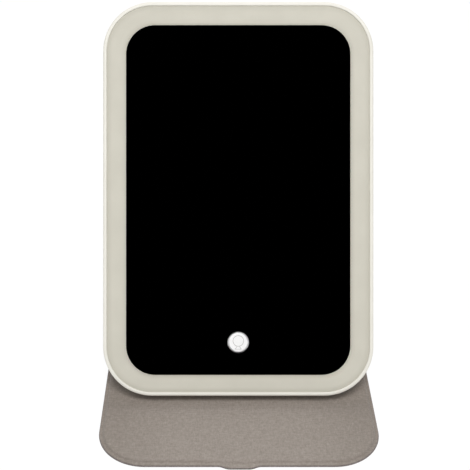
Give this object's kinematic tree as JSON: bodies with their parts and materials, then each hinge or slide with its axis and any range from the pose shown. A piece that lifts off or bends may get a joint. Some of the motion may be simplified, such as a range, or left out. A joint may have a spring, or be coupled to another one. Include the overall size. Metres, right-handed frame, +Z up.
{
  "type": "lighted makeup mirror",
  "caption": "Slim lighted makeup mirror with a milky light band and a round power button, in a fabric-lined folding cover that stands it up and sets its tilt.",
  "frame": {"origin": "on the table, under the middle of the object's box", "axes": "+X to the right seen from the front, -Y the way the mirror faces, +Z up"},
  "size_m": [0.1612, 0.2532, 0.2088],
  "materials": {
    "cover_skin": "fine-grained leather look, satin",
    "cover_lining": "warm grey woven lining",
    "cover_board": "grey board",
    "steel": "plain steel",
    "magnet": "nickel plated",
    "ivory_plastic": "satin ivory",
    "milky_plastic": "milky, unlit",
    "silvered_glass": "silvered glass",
    "white_plastic": "white inner moulding",
    "foam_tape": "double-sided foam tape",
    "circuit": "solder mask",
    "strip_board": "white solder mask",
    "lamp_chip": "phosphor",
    "black_plastic": "moulded",
    "lead_red": "wire insulation",
    "lead_black": "wire insulation",
    "lead_white": "wire insulation",
    "battery_foil": "pouch foil",
    "button_plastic": "white",
    "clear_plastic": "clear lens"
  },
  "bodies": {
    "front_cover": {"base_skin": "cover_skin", "base_lining": "cover_lining", "base_board": "cover_board", "spine_board": "cover_board", "hold_plate": "steel", "closure_magnets": "magnet"},
    "stand_leg": {"leg_skin": "cover_skin", "leg_board": "cover_board", "leg_lining": "cover_lining"},
    "mirror_unit": {"back_skin": "cover_skin", "back_board": "cover_board", "back_tape": "foam_tape", "rear_housing": "ivory_plastic", "front_bezel": "ivory_plastic", "light_diffuser": "milky_plastic", "mirror_glass": "silvered_glass", "mirror_tape": "foam_tape", "inner_frame": "white_plastic", "led_strips": "strip_board", "led_chips": "lamp_chip", "strip_jumpers": "lead_white", "led_leads": "lead_white", "lead_connectors": "white_plastic", "control_board": "circuit", "board_chips": "black_plastic", "tact_switch": "black_plastic", "usb_socket": "steel", "usb_blade": "black_plastic", "charge_light": "clear_plastic", "battery_cell": "battery_foil", "battery_pad": "foam_tape", "battery_lead_red": "lead_red", "battery_lead_black": "lead_black", "case_screws": "steel", "board_screws": "steel", "foot_magnets": "magnet", "top_magnets": "magnet"},
    "power_button": {"button_cap": "button_plastic", "switch_plunger": "black_plastic"}
  },
  "joints": [
    {"name": "stand_fold", "type": "hinge", "parent": "front_cover", "child": "stand_leg", "pos_m": [0, 0.12402, 0.00255], "axis": [1, 0, 0], "range_deg": [-30, 9]},
    {"name": "mirror_fold", "type": "hinge", "parent": "stand_leg", "child": "mirror_unit", "pos_m": [0, 0.02886, 0.15452], "axis": [1, 0, 0], "range_deg": [-18, 60]},
    {"name": "button_press", "type": "slide", "parent": "mirror_unit", "child": "power_button", "axis": [0, 0.8572, -0.515], "range_m": [0, 0.0006], "stiffness_N_per_m": 3000}
  ],
  "couplings": [
    {"joint": "mirror_fold", "follows": "stand_fold", "ratio": -2}
  ]
}
